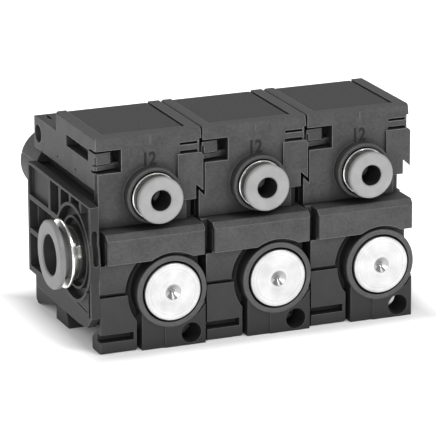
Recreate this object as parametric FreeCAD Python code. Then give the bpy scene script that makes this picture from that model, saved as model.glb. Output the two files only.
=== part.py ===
import FreeCAD, Part
import math
import os

# Directional control valve: air-piloted stations side by side on one supply gallery.
# Station frame in mm: x runs along the row, y backwards from the pilot housing's front wall,
# z up from the plane that the feet stand on.

# Row
STATIONS = 3
PITCH = 22.5
HEIGHT = 43.0
SEAM = 0.1                # gap between neighbouring valve bodies
FIT = 0.05                # radial clearance of pieces that seat in one another
SLIDE = 0.15              # clearance round a moulded piece that slides
LIFT = 0.1                # clearance between two mouldings stacked on one another

# Valve body, the lower moulding
BODY_LEFT = -1.4
BODY_FRONT = -1.2
BODY_DEPTH = 34.5
BODY_REAR = BODY_FRONT + BODY_DEPTH
PANEL_FRONT = -3.9
PANEL_RIGHT = 19.0
PANEL_FOOT = 12.4
PANEL_STEP = 0.8          # the panel's lower edge is set back by this
SHELF_TOP = 24.5
SHELF_BACK = 2.1
BODY_TOP = SHELF_TOP + 5.0
CEILING_FRONT = 6.3       # underside behind the latch
CEILING_BACK = 3.1        # underside over the rail
CEILING_END = 7.4
MIDDLE_FOOT_START = 13.9
MIDDLE_FOOT_END = 21.15
HOOK_LEAN = 1.5           # the middle foot's front leans back over the rail's edge
FOOT_RELIEF = 3.2
REAR_FOOT_START = BODY_REAR - 1.9
REAR_EDGE = 0.8
SIDE_RELIEF = 0.7         # upper front right corner of the body, set in
SIDE_RELIEF_BACK = 8.0

# Band across the front
BAND_LEFT = -0.1
BAND_RIGHT = 20.5
BAND_FRONT = -5.2
BAND_FOOT = SHELF_TOP - 6.0
BAND_EDGE = 1.1
BAND_END_EDGE = 0.45
BAND_ARC_GAP = 0.8        # round the plunger boss
SLOT_FOOT = BAND_FOOT - 0.4     # gap between one band and the next
CAVITY_DEPTH = 2.4        # hollow in the band's left end

# Plunger boss and pedestal
SPOOL_X = 13.5
SPOOL_Z = 11.6
BOSS_R = 7.35
BOSS_FRONT = -4.9
BOSS_BORE_R = 6.3
BOSS_EDGE = 0.2
RECESS_R = 9.6            # mouth of the dished recess round the boss
RECESS_FLOOR_R = 8.0
PEDESTAL_LEFT = 7.25
PEDESTAL_BACK = 1.3
PEDESTAL_TOP = 7.7
PEDESTAL_RIGHT = 20.6
PEDESTAL_CHEEK = 8.6      # top of the cheek beside the boss
PEDESTAL_STEP = 0.25      # boss, right half and left half each stand back by this
SLIT = 0.45
SLIT_LENGTH = 1.6
SLIT_RISE = 2.1
STEP_X = 12.0             # where the pedestal's two halves meet
SCREW_X = 17.6
SCREW_Z = 2.5
SCREW_R = 2.1

# Rail latch
LATCH_LEFT = BODY_LEFT + SLIDE
LATCH_RIGHT = 6.3
LATCH_TOP = 11.6
LATCH_BACK = -1.5
LATCH_CURVE_R = 9.0        # the latch is cut away round the plunger boss
SLOT_RIGHT = 5.7
SLOT_LOW = 2.4
SLOT_HIGH = 4.0
SLOT_DEPTH = 2.2
HOOK_BACK = 0.9
HOOK_TOP = 2.35
STEM_X = 2.0
STEM_Z = 9.0
STEM_R = 0.9
STEM_HEAD_R = 1.8
STEM_HEAD_THICK = 1.2
SPRING_ROOM_Y = 3.0
LATCH_TRAVEL = 2.5
LATCH_SPRING_SHUT = 4.1   # length left for the spring with the latch drawn out
LATCH_WIRE = 0.4
STEM_HEAD_Y = SPRING_ROOM_Y + LATCH_SPRING_SHUT + LATCH_TRAVEL

# Spool and plunger
PLUNGER_R = 5.83
PLUNGER_FACE = -5.4
PLUNGER_THICK = 1.3
PLUNGER_STEM_R = 2.2
SPOOL_TRAVEL = 2.4
GLAND_Y = -1.5
GLAND_THICK = 1.0
CHAMBER_R = 4.3
CHAMBER_END = 4.4
PISTON_THICK = 1.8
PISTON_GAP = 0.3
BORE_R = 3.4
RETURN_SPRING_SHUT = 2.8  # length left for the spring with the plunger pressed in
RETURN_WIRE = 0.5
STEM_WAIST_R = 1.7
LAND_WIDTH = 1.6
LAND_STARTS = (4.6, 12.2, 15.6, 23.2)
BORE_END = LAND_STARTS[-1] + LAND_WIDTH + SPOOL_TRAVEL + RETURN_SPRING_SHUT
OUTLET_GROOVE = (13.9, 17.6)
EXHAUST_GROOVE = (20.2, 22.6)
GROOVE_R = 4.4
RUN_FIT = 0.05            # radial clearance of the spool in its bore
SEAL_R = 0.4              # half the thickness of the spool's seals

# Supply gallery
GALLERY_Y = 5.2
GALLERY_Z = 18.9
GALLERY_R = 2.3
LEFT_SOCKET_R = 5.6
RIGHT_SOCKET_R = 4.6
RIGHT_SOCKET_DEPTH = 3.8

# Pilot housing, the upper moulding
WALL_LEFT = -0.45
WALL_RIGHT = 21.3
HOUSING_REAR = BODY_REAR + 2.0
NECK_HEIGHT = 2.85
HOUSING_FOOT = BODY_TOP + NECK_HEIGHT
SLAB_THICK = 4.1
HOUSING_SHOULDER = HEIGHT - SLAB_THICK
NECK_LEFT = 1.5
NECK_RIGHT = 20.0
SKIRT_THICK = 2.0
SKIRT_LEFT = -1.3
SKIRT_RIGHT = 18.5
LUG_TOP = BODY_TOP + 0.75       # the lug that the neighbour's hook plate catches
LUG_VALLEY = LUG_TOP - 1.45
REBATE_RIGHT = 0.0        # front left corner, set back for the neighbour's hook plate
REBATE_DEPTH = 0.9
NECK_FRONT = 1.4          # front of the neck where the skirt leaves it bare
SLAB_RIGHT = 21.55
SLAB_LIP = 21.75
SLAB_LIP_THICK = 2.25
SLAB_DEPTH = 22.2
SLAB_EDGE = 0.6
RIM_LEFT = 2.15           # width of the rim round the label field
RIM_FRONT = 2.0
LABEL_RIGHT = 18.8
LABEL_GROOVE = 0.4
LABEL_DEPTH = 0.25
HOOK_THICK = 0.5
HOOK_LEFT = 16.6
HOOK_RIGHT = 21.95
HOOK_NECK = 20.4          # right edge of the plate under its barb
HOOK_EDGE = 0.5
BARB_RISE = 1.35          # the barb hangs this far above the lug
HOOK_FOOT = HOUSING_FOOT - 3.75
HOOK_HEAD = HEIGHT - 4.95
GROOVE_LEFT = 17.2        # the two grooves above the hook plate
GROOVE_THICK = 0.5
GROOVE_DEPTH = 1.2
GROOVE_PITCH = 1.67
GROOVE_END = 0.35         # wall left at the grooves' right end
PORT_X = 11.0
PORT_Z = SHELF_TOP + 6.2
PORT_BOSS_R = 5.7
PORT_BOSS_WALL = 0.65
PORT_BOSS_FRONT = -2.4
PORT_WELL_FLOOR = -0.4    # floor of the ring gap between boss and collar
PORT_SOCKET_END = 8.0
NOTCH_RIGHT = 4.95
NOTCH_TOP = HEIGHT - 2.75
NOTCH_HEIGHT = 4.6
NOTCH_DEPTH = 3.6
NOTCH_LINE = 0.55         # height of the grooves above and below the notch's floor
WINDOW_FRONT = 4.0
WINDOW_LENGTH = 12.5
WINDOW_HEIGHT = 2.35
SIDE_HOLE_R = 1.9
SIDE_RING_R = 4.0
SIDE_RING_LINE = 0.2
SIDE_DEPTH = 2.2          # depth of the window and the hole in the left side
MARK_R = 0.35
MARK_PLACES = (11.3, 21.6)

# Outlet port at the rear
OUTLET_X = 5.4
OUTLET_Z = BODY_TOP - 1.7
OUTLET_BOSS_R = 6.8
OUTLET_FACE = BODY_REAR + 8.2
OUTLET_END_WALL = 0.6

# Left end plate
END_THICK = 1.8
END_REAR = BODY_REAR - 1.1
END_FRONT = -3.9
END_TOP = BODY_TOP + 1.1
END_FOOT = 4.8
END_CORNER = 2.4          # chamfered lower front corner of the plate
END_STEP = 4.2            # raised piece of its rear edge
RIB = 1.0
CELL_TOP = BODY_TOP + 0.5
CELL_SPLIT = 23.2         # height of the rib between the upper and the lower cells
CELL_STEP = 16.1
CELL_REAR = END_REAR - 0.8
CELL_RIBS = (19.35, 13.2, 7.3, 1.6)
FOOT_STRIP_TOP = 8.6
WELL_R = 9.9              # ring wall round the supply fitting
WELL_WALL = 0.6
WELL_RIM = 0.4            # the ring wall stands this proud of the ribs
INNER_RING_R = 7.3
INNER_RING_WALL = 0.45
WELL_FLOOR = 0.5
CELL_DEPTH = 2.2          # depth of the cells in the body behind the plate

# Push-in fittings: tube radius, flange radius, rim radius, body radius, rim thickness,
# gap behind the flange, flange thickness, body length
PILOT_FITTING = dict(tube=2.0, flange=4.7, rim=4.8, body=4.1,
                     rim_thick=1.3, gap=1.9, thick=1.2, length=7.4)
SUPPLY_FITTING = dict(tube=4.0, flange=6.9, rim=6.9, body=5.5,
                      rim_thick=0.5, gap=1.35, thick=1.05, length=8.6)
OUTLET_FITTING = dict(tube=3.0, flange=5.4, rim=5.9, body=4.95,
                      rim_thick=0.6, gap=1.5, thick=1.1, length=8.2)
RELEASE_TRAVEL = 1.0
PILOT_RIM_Y = -2.8
SUPPLY_RIM_X = -6.05
OUTLET_RIM_Y = OUTLET_FACE + OUTLET_FITTING["rim_thick"]
NECK_WALL = 0.85          # wall of the release ring's neck
TUBE_PLAY = 0.07
COLLAR_LIP = 0.9          # shoulder inside the collar that the seal rests on
NOSE_BACK = 4.2           # from the collar's inner end to the release ring's nose
NOSE_LENGTH = 1.2
LEAD_IN = 0.3
SOCKET_SPARE = 0.8        # room behind a fitting for the air way
TOOTH_THICK = 0.2
OUTLET_SOCKET_START = OUTLET_RIM_Y - OUTLET_FITTING["length"] - SOCKET_SPARE

BODY_RIGHT = BODY_LEFT + PITCH - SEAM
LEFT_SOCKET_DEPTH = SUPPLY_RIM_X + SUPPLY_FITTING["length"] - BODY_LEFT + LIFT
ROW_CENTRE = PORT_X + PITCH * (STATIONS - 1) / 2
DEPTH_CENTRE = (PANEL_FRONT + BODY_REAR) / 2
BIG = 100.0

X_AXIS = FreeCAD.Vector(1, 0, 0)
Y_AXIS = FreeCAD.Vector(0, 1, 0)
Z_AXIS = FreeCAD.Vector(0, 0, 1)


def vec(x, y, z):
    return FreeCAD.Vector(x, y, z)


def box(x0, x1, y0, y1, z0, z1):
    return Part.makeBox(x1 - x0, y1 - y0, z1 - z0, vec(x0, y0, z0))


def prism(points, direction):
    face = Part.Face(Part.makePolygon(points + [points[0]]))
    return face.extrude(direction)


def prism_x(profile, x0, x1):
    return prism([vec(x0, y, z) for y, z in profile], X_AXIS * (x1 - x0))


def prism_y(profile, y0, y1):
    return prism([vec(x, y0, z) for x, z in profile], Y_AXIS * (y1 - y0))


def prism_z(profile, z0, z1):
    return prism([vec(x, y, z0) for x, y in profile], Z_AXIS * (z1 - z0))


def rod_x(y, z, r, x0, x1):
    return Part.makeCylinder(r, x1 - x0, vec(x0, y, z), X_AXIS)


def rod_y(x, z, r, y0, y1):
    return Part.makeCylinder(r, y1 - y0, vec(x, y0, z), Y_AXIS)


def rod_z(x, y, r, z0, z1):
    return Part.makeCylinder(r, z1 - z0, vec(x, y, z0), Z_AXIS)


def drilling(start, end, r):
    run = end - start
    return Part.makeCylinder(r, run.Length, start, run)


def turned(profile, base=None, axis=None):
    """A turned piece: the (radius, distance) profile goes once round the axis."""
    face = Part.Face(Part.makePolygon([vec(r, 0, s) for r, s in profile + [profile[0]]]))
    solid = face.revolve(vec(0, 0, 0), Z_AXIS, 360)
    if axis is not None:
        solid.Placement = FreeCAD.Placement(base, FreeCAD.Rotation(Z_AXIS, axis))
    return solid


def edges_at(shape, test):
    return [edge for edge in shape.Edges if test(edge)]


def straight_along(edge, direction):
    if not isinstance(edge.Curve, Part.Line):
        return False
    return abs(abs(edge.Curve.Direction.dot(direction)) - 1.0) < 1e-6


def middle(edge):
    return edge.valueAt((edge.FirstParameter + edge.LastParameter) / 2)


def near(a, b):
    return abs(a - b) < 0.01


def coil(x, z, y0, y1, coil_r, wire, turns):
    """A compression spring of square wire along y."""
    height = y1 - y0 - wire
    helix = Part.makeHelix(height / turns, height, coil_r)
    half = wire / 2
    corners = [vec(coil_r - half, 0, -half), vec(coil_r + half, 0, -half),
               vec(coil_r + half, 0, half), vec(coil_r - half, 0, half)]
    section = Part.makePolygon(corners + [corners[0]])
    spring = Part.Wire(helix).makePipeShell([section], True, True)
    spring.Placement = FreeCAD.Placement(vec(x, y0 + half, z), FreeCAD.Rotation(Z_AXIS, Y_AXIS))
    return spring


# Valve body

def body_side_profile():
    underside = [(BODY_FRONT, CEILING_FRONT), (CEILING_END, CEILING_BACK),
                 (MIDDLE_FOOT_START + HOOK_LEAN, CEILING_BACK), (MIDDLE_FOOT_START, 0.0),
                 (MIDDLE_FOOT_END, 0.0), (MIDDLE_FOOT_END, FOOT_RELIEF), (REAR_FOOT_START, 0.0),
                 (BODY_REAR - REAR_EDGE, 0.0), (BODY_REAR, REAR_EDGE)]
    return underside + [(BODY_REAR, BODY_TOP), (SHELF_BACK, BODY_TOP),
                        (SHELF_BACK, SHELF_TOP), (BODY_FRONT, SHELF_TOP)]


def round_slot_x(y, low, high, r, x0, x1):
    """A round-ended upright slot sunk along x."""
    slot = box(x0, x1, y - r, y + r, low + r, high - r)
    return slot.multiFuse([rod_x(y, low + r, r, x0, x1), rod_x(y, high - r, r, x0, x1)])


def round_slot_y(x, low, high, r, y0, y1):
    """A round-ended upright slot sunk along y."""
    slot = box(x - r, x + r, y0, y1, low + r, high - r)
    return slot.multiFuse([rod_y(x, low + r, r, y0, y1), rod_y(x, high - r, r, y0, y1)])


def front_band():
    band = box(BAND_LEFT, BAND_RIGHT, BAND_FRONT, BODY_FRONT, BAND_FOOT, SHELF_TOP)
    at_front = edges_at(band, lambda e: near(middle(e).y, BAND_FRONT))
    band = band.makeChamfer(BAND_EDGE, [e for e in at_front if near(middle(e).z, SHELF_TOP)])
    at_front = edges_at(band, lambda e: near(middle(e).y, BAND_FRONT))
    band = band.makeFillet(BAND_END_EDGE, [e for e in at_front if straight_along(e, Z_AXIS)])
    hollow_r = (BODY_FRONT - BAND_FRONT) / 2 - BAND_EDGE / 2 - BAND_END_EDGE
    hollow = round_slot_x((BAND_FRONT + BODY_FRONT) / 2, BAND_FOOT, SHELF_TOP - BAND_EDGE, hollow_r,
                          BAND_LEFT - 1, BAND_LEFT + CAVITY_DEPTH)
    arch = rod_y(SPOOL_X, SPOOL_Z, BOSS_R + BAND_ARC_GAP, BAND_FRONT - 1, PANEL_FRONT)
    return band.cut(arch).cut(hollow)


def pedestal():
    """The foot block under the plunger boss, with a slanting slit in its upper right corner."""
    right_side = [(PEDESTAL_RIGHT, 0), (PEDESTAL_RIGHT, PEDESTAL_CHEEK), (SPOOL_X, SPOOL_Z)]
    right_front = BOSS_FRONT + PEDESTAL_STEP
    whole = prism_y([(PEDESTAL_LEFT, 0)] + right_side + [(PEDESTAL_LEFT, PEDESTAL_TOP)],
                    right_front + PEDESTAL_STEP, PEDESTAL_BACK)
    right_half = prism_y([(STEP_X, 0)] + right_side + [(STEP_X, SPOOL_Z)], right_front, PANEL_FRONT)
    left = PEDESTAL_RIGHT - SLIT_LENGTH
    low = PEDESTAL_CHEEK - SLIT - SLIT_RISE
    slope = SLIT_RISE / SLIT_LENGTH
    slit = prism_y([(left, low), (PEDESTAL_RIGHT + 1, low + SLIT_RISE + slope),
                    (PEDESTAL_RIGHT + 1, low + SLIT_RISE + slope + SLIT), (left, low + SLIT)],
                   BOSS_FRONT - 1, PANEL_FRONT)
    return whole.fuse(right_half).cut(slit)


def spool_bore():
    pieces = [rod_y(SPOOL_X, SPOOL_Z, BOSS_BORE_R, BOSS_FRONT - 1, GLAND_Y + GLAND_THICK),
              rod_y(SPOOL_X, SPOOL_Z, CHAMBER_R, GLAND_Y, CHAMBER_END),
              rod_y(SPOOL_X, SPOOL_Z, BORE_R, CHAMBER_END - 1, BORE_END)]
    for start, end in (OUTLET_GROOVE, EXHAUST_GROOVE):
        pieces.append(rod_y(SPOOL_X, SPOOL_Z, GROOVE_R, start, end))
    return pieces


def air_ways():
    outlet_y = sum(OUTLET_GROOVE) / 2
    exhaust_y = sum(EXHAUST_GROOVE) / 2
    turn = vec(SPOOL_X - 1, outlet_y, BODY_TOP - 5.5)
    pilot_turn = vec(SPOOL_X - 1, 0, SHELF_TOP - 1.3)
    pilot_drop = vec(PORT_X, PORT_SOCKET_END - 1.2, SHELF_TOP - 1.3)
    return [drilling(vec(SPOOL_X, GALLERY_Y, GALLERY_Z), vec(SPOOL_X, LAND_STARTS[1] - 2, SPOOL_Z), 1.3),
            drilling(vec(SPOOL_X - 1, outlet_y, SPOOL_Z), turn, 1.7),
            drilling(turn, vec(OUTLET_X, OUTLET_SOCKET_START + 1, OUTLET_Z - 1.5), 1.7),
            drilling(vec(SPOOL_X, exhaust_y, SPOOL_Z), vec(SPOOL_X, exhaust_y, -1), 1.7),
            drilling(vec(SPOOL_X - 1, 0, SPOOL_Z + 3), pilot_turn, 0.5),
            drilling(pilot_turn, pilot_drop, 0.5),
            drilling(pilot_drop, vec(PORT_X, PORT_SOCKET_END - 1.2, BODY_TOP + 1), 0.5)]


def gallery_bores():
    return [rod_x(GALLERY_Y, GALLERY_Z, GALLERY_R, BODY_LEFT - 1, BODY_RIGHT + 1),
            rod_x(GALLERY_Y, GALLERY_Z, LEFT_SOCKET_R, BODY_LEFT - 1, BODY_LEFT + LEFT_SOCKET_DEPTH),
            rod_x(GALLERY_Y, GALLERY_Z, RIGHT_SOCKET_R, BODY_RIGHT - RIGHT_SOCKET_DEPTH, BODY_RIGHT + 1)]


def stem_channel():
    head_room = STEM_HEAD_R + 3 * SLIDE
    end = STEM_HEAD_Y + STEM_HEAD_THICK + 1.0
    return [rod_y(STEM_X, STEM_Z, STEM_R + SLIDE, BODY_FRONT - 1, SPRING_ROOM_Y + 1),
            rod_y(STEM_X, STEM_Z, head_room, SPRING_ROOM_Y, end),
            box(STEM_X - head_room, STEM_X + head_room, SPRING_ROOM_Y, end, 0, STEM_Z)]


def outlet_socket(reach):
    return rod_y(OUTLET_X, OUTLET_Z, OUTLET_FITTING["body"] + FIT, OUTLET_SOCKET_START, OUTLET_FACE + reach)


def cell_spans():
    """Moulded cells of the left side as (front, rear, foot, head); the well lies in front of them."""
    half = RIB / 2
    upper = [CELL_REAR + half] + list(CELL_RIBS) + [END_FRONT + half]
    spans = [(front + half, rear - half, CELL_SPLIT + half, CELL_TOP)
             for rear, front in zip(upper, upper[1:])]
    lower = (CELL_RIBS[1] + half, CELL_REAR, CELL_STEP + half, CELL_SPLIT - half)
    foot = (CELL_RIBS[1] + half, CELL_REAR, FOOT_STRIP_TOP, CELL_STEP - half)
    return spans + [lower, foot]


def side_cells():
    """The deep cells of the body's left side, behind those of the end plate that clear its well."""
    reach = GALLERY_Y + WELL_R
    head = BODY_TOP - RIB
    return [box(BODY_LEFT - 1, BODY_LEFT + CELL_DEPTH, max(y0, reach), y1, z0, min(z1, head))
            for y0, y1, z0, z1 in cell_spans()[1:] if y1 > reach + RIB]


def valve_body():
    body = prism_x(body_side_profile(), BODY_LEFT, BODY_RIGHT)
    body = body.cut(box(BAND_RIGHT, BIG, BODY_FRONT - 1, SHELF_BACK, PEDESTAL_TOP, SHELF_TOP))
    body = body.cut(box(BODY_RIGHT - SIDE_RELIEF, BIG, BODY_FRONT - 1, SIDE_RELIEF_BACK, SHELF_TOP, BIG))
    panel = box(BODY_LEFT, PANEL_RIGHT, PANEL_FRONT, BODY_FRONT, PANEL_FOOT, SHELF_TOP - BAND_EDGE)
    step = box(BODY_LEFT, PANEL_RIGHT, PANEL_FRONT + PANEL_STEP, BODY_FRONT, LATCH_TOP + SLIDE, PANEL_FOOT)
    dish = Part.makeCone(RECESS_R, RECESS_FLOOR_R, BODY_FRONT - PANEL_FRONT,
                         vec(SPOOL_X, PANEL_FRONT, SPOOL_Z), Y_AXIS)
    panel = panel.fuse(step).cut(dish)
    panel = panel.cut(box(BODY_LEFT - 1, BAND_LEFT, PANEL_FRONT - 1, BODY_FRONT, SLOT_FOOT, SHELF_TOP))
    boss = rod_y(SPOOL_X, SPOOL_Z, BOSS_R, BOSS_FRONT, BODY_FRONT)
    boss = boss.makeChamfer(BOSS_EDGE, edges_at(boss, lambda e: near(middle(e).y, BOSS_FRONT)))
    rear_boss = rod_y(OUTLET_X, OUTLET_Z, OUTLET_BOSS_R, BODY_REAR, OUTLET_FACE)
    rear_boss = rear_boss.cut(box(-BIG, BIG, 0, BIG, BODY_TOP, BIG))
    body = body.multiFuse([panel, front_band(), boss, pedestal(), rear_boss])
    cuts = spool_bore() + air_ways() + gallery_bores() + stem_channel() + side_cells() + port_seat()
    cuts.append(outlet_socket(1))
    cuts.append(rod_y(SCREW_X, SCREW_Z, SCREW_R, BOSS_FRONT - 1, PEDESTAL_BACK + 1))
    return body.cut(Part.makeCompound(cuts)).removeSplitter()


# Rail latch

def rail_latch():
    profile = [(PANEL_FRONT, 0.45), (PANEL_FRONT + 0.45, 0.0), (HOOK_BACK - 0.3, 0.0), (HOOK_BACK, 0.3),
               (HOOK_BACK, HOOK_TOP), (-2.6, 5.4), (-3.1, 6.8), (LATCH_BACK, 6.95),
               (LATCH_BACK, LATCH_TOP), (PANEL_FRONT, LATCH_TOP)]
    latch = prism_x(profile, LATCH_LEFT, LATCH_RIGHT)
    latch = latch.cut(rod_y(SPOOL_X, SPOOL_Z, LATCH_CURVE_R, PANEL_FRONT - 1, HOOK_BACK + 1))
    latch = latch.cut(box(-BIG, SLOT_RIGHT, PANEL_FRONT - 1, PANEL_FRONT + SLOT_DEPTH, SLOT_LOW, SLOT_HIGH))
    stem = rod_y(STEM_X, STEM_Z, STEM_R, LATCH_BACK - 0.5, STEM_HEAD_Y)
    head = rod_y(STEM_X, STEM_Z, STEM_HEAD_R, STEM_HEAD_Y, STEM_HEAD_Y + STEM_HEAD_THICK)
    return latch.multiFuse([stem, head]).removeSplitter()


def latch_spring():
    coil_r = (STEM_R + STEM_HEAD_R) / 2 + FIT
    return coil(STEM_X, STEM_Z, SPRING_ROOM_Y + FIT, STEM_HEAD_Y - FIT, coil_r, LATCH_WIRE, 4)


# Plunger, spool and what they run in

def plunger():
    back = GLAND_Y + GLAND_THICK + PISTON_GAP - PLUNGER_FACE
    profile = [(0, 1.1), (0.55, 0.55), (1.5, 0.0), (PLUNGER_R - 0.2, 0.0), (PLUNGER_R, 0.2),
               (PLUNGER_R, PLUNGER_THICK), (PLUNGER_STEM_R, PLUNGER_THICK),
               (PLUNGER_STEM_R, back), (0, back)]
    return turned(profile, vec(SPOOL_X, PLUNGER_FACE, SPOOL_Z), Y_AXIS)


def gland_disc():
    profile = [(PLUNGER_STEM_R + RUN_FIT, 0), (BOSS_BORE_R - FIT, 0),
               (BOSS_BORE_R - FIT, GLAND_THICK), (PLUNGER_STEM_R + RUN_FIT, GLAND_THICK)]
    return turned(profile, vec(SPOOL_X, GLAND_Y, SPOOL_Z), Y_AXIS)


def spool():
    start = GLAND_Y + GLAND_THICK + PISTON_GAP
    land_r = BORE_R - RUN_FIT
    groove_r = land_r - 2 * SEAL_R
    profile = [(0, start), (CHAMBER_R - RUN_FIT - 0.4, start), (CHAMBER_R - RUN_FIT, start + 0.4),
               (CHAMBER_R - RUN_FIT, start + PISTON_THICK), (STEM_WAIST_R, start + PISTON_THICK)]
    for land in LAND_STARTS:
        centre = land + LAND_WIDTH / 2
        profile += [(STEM_WAIST_R, land), (land_r, land),
                    (land_r, centre - SEAL_R), (groove_r, centre - SEAL_R),
                    (groove_r, centre + SEAL_R), (land_r, centre + SEAL_R),
                    (land_r, land + LAND_WIDTH), (STEM_WAIST_R, land + LAND_WIDTH)]
    end = LAND_STARTS[-1] + LAND_WIDTH
    return turned(profile + [(0, end)], vec(SPOOL_X, 0, SPOOL_Z), Y_AXIS)


def seal_ring(ring_r, section_r):
    """A rubber ring; its round section is drawn with eight sides."""
    section = []
    for index in range(8):
        angle = math.radians(45 * index + 22.5)
        section.append((ring_r + section_r * math.cos(angle), section_r * math.sin(angle)))
    return turned(section)


def spool_seals():
    ring_r = BORE_R - RUN_FIT - SEAL_R
    rings = []
    for land in LAND_STARTS:
        ring = seal_ring(ring_r, SEAL_R - 0.01)
        ring.Placement = FreeCAD.Placement(vec(SPOOL_X, land + LAND_WIDTH / 2, SPOOL_Z),
                                           FreeCAD.Rotation(Z_AXIS, Y_AXIS))
        rings.append(ring)
    return Part.makeCompound(rings)


def return_spring():
    start = LAND_STARTS[-1] + LAND_WIDTH
    return coil(SPOOL_X, SPOOL_Z, start + FIT, BORE_END - FIT, BORE_R - RETURN_WIRE - SLIDE,
                RETURN_WIRE, 3)


# Pilot housing

def port_boss():
    boss = rod_y(PORT_X, PORT_Z, PORT_BOSS_R, PORT_BOSS_FRONT, 0.5)
    rim = edges_at(boss, lambda e: near(middle(e).y, PORT_BOSS_FRONT))
    boss = boss.makeChamfer(0.25, rim)
    return boss.cut(box(-BIG, BIG, -BIG, BIG, -BIG, SHELF_TOP + LIFT))


def hook_plate():
    """The plate on the right of the front whose barb catches the lug of the next station."""
    return prism_y([(HOOK_LEFT, HOOK_FOOT), (HOOK_LEFT, HOOK_HEAD), (HOOK_RIGHT - HOOK_EDGE, HOOK_HEAD),
                    (HOOK_RIGHT, HOOK_HEAD - HOOK_EDGE), (HOOK_RIGHT, LUG_VALLEY + BARB_RISE),
                    (HOOK_NECK, LUG_TOP + BARB_RISE), (HOOK_NECK, HOOK_FOOT)], -HOOK_THICK, 0)


def label_slab():
    front = [(WALL_LEFT, HOUSING_SHOULDER), (WALL_LEFT, HEIGHT), (SLAB_RIGHT, HEIGHT),
             (SLAB_LIP, HEIGHT - SLAB_LIP_THICK), (WALL_RIGHT, HEIGHT - SLAB_LIP_THICK),
             (WALL_RIGHT, HOUSING_SHOULDER)]
    slab = prism_y(front, 0, SLAB_DEPTH)
    top = edges_at(slab, lambda e: near(middle(e).z, HEIGHT))
    outer = [e for e in top if near(middle(e).y, 0) or near(middle(e).x, WALL_LEFT)]
    slab = slab.makeFillet(SLAB_EDGE, outer)
    recess = box(WALL_LEFT + RIM_LEFT, LABEL_RIGHT, RIM_FRONT, BIG, HEIGHT - LABEL_DEPTH, BIG)
    groove = box(LABEL_RIGHT, LABEL_RIGHT + LABEL_GROOVE, RIM_FRONT, BIG, HEIGHT - 3 * LABEL_DEPTH, BIG)
    return slab.cut(recess).cut(groove)


def port_socket():
    body_r = PILOT_FITTING["body"] + FIT
    return [rod_y(PORT_X, PORT_Z, PORT_BOSS_R - PORT_BOSS_WALL, PORT_BOSS_FRONT - 1, PORT_WELL_FLOOR),
            rod_y(PORT_X, PORT_Z, body_r, PORT_WELL_FLOOR - 1, PILOT_RIM_Y + PILOT_FITTING["length"]),
            rod_y(PORT_X, PORT_Z, PILOT_FITTING["tube"] - 0.5, PILOT_RIM_Y, PORT_SOCKET_END),
            rod_z(PORT_X, PORT_SOCKET_END - 1.2, 0.5, BODY_TOP - 1, PORT_Z)]


def port_seat():
    """The lower half of the pilot port's socket, in the top of the valve body."""
    end = PILOT_RIM_Y + PILOT_FITTING["length"] + FIT
    return [rod_y(PORT_X, PORT_Z, PILOT_FITTING["body"] + FIT, 0, end),
            rod_y(PORT_X, PORT_Z, PILOT_FITTING["tube"] - 0.5, PILOT_RIM_Y, PORT_SOCKET_END)]


def notch():
    """The stepped recess at the left of the front: a ramp between two deep grooves, and a ledge."""
    left = WALL_LEFT - 1
    foot = NOTCH_TOP - NOTCH_HEIGHT
    ledge_top = foot + 3 * NOTCH_LINE
    deep = NOTCH_DEPTH
    ramp = prism_z([(left, -1), (NOTCH_RIGHT, -1), (NOTCH_RIGHT, deep), (0.6 * NOTCH_RIGHT, deep / 4),
                    (left, deep / 12)], ledge_top, NOTCH_TOP)
    ledge = prism_z([(left, -1), (NOTCH_RIGHT, -1), (NOTCH_RIGHT, deep / 2), (left, deep / 9)],
                    foot, ledge_top + LIFT)
    grooves = [box(left, NOTCH_RIGHT, -1, deep, NOTCH_TOP - NOTCH_LINE, NOTCH_TOP),
               box(left, NOTCH_RIGHT, -1, deep / 2, ledge_top - NOTCH_LINE / 3, ledge_top + LIFT),
               box(left, NOTCH_RIGHT, -1, 0.7 * deep, foot, foot + NOTCH_LINE)]
    return [ramp, ledge] + grooves


def side_marks():
    """Window, hole, ring line and mould marks of the left side, and the two marks on the shoulder."""
    hole_y = HOUSING_REAR - SIDE_HOLE_R - LEAD_IN
    hole_z = (HOUSING_FOOT + HOUSING_SHOULDER) / 2
    head = HOUSING_SHOULDER + SLAB_THICK / 5
    mark_z = HOUSING_FOOT + 4 * MARK_R
    side = WALL_LEFT - 1
    ring = rod_x(hole_y, hole_z, SIDE_RING_R, side, WALL_LEFT + SIDE_RING_LINE)
    ring = ring.cut(rod_x(hole_y, hole_z, SIDE_RING_R - SIDE_RING_LINE, side - 1, BIG))
    ring = ring.cut(box(-BIG, BIG, hole_y - SIDE_HOLE_R, BIG, -BIG, BIG))
    window = box(side, WALL_LEFT + SIDE_DEPTH, WINDOW_FRONT, WINDOW_FRONT + WINDOW_LENGTH,
                 head - WINDOW_HEIGHT, head)
    marks = [rod_x(y, mark_z, MARK_R, side, WALL_LEFT + MARK_R) for y in MARK_PLACES]
    groove = box(NECK_LEFT, NECK_LEFT + 2 * MARK_R, HOUSING_REAR - 4.0, HOUSING_REAR - 1.0,
                 HOUSING_SHOULDER - 2 * MARK_R, BIG)
    pocket = rod_z(NECK_LEFT - MARK_R, SLAB_DEPTH + 4.0, MARK_R, HOUSING_SHOULDER - 2 * MARK_R, BIG)
    hole = rod_x(hole_y, hole_z, SIDE_HOLE_R, side, WALL_LEFT + SIDE_DEPTH)
    return [window, hole, ring, groove, pocket] + marks


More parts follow.
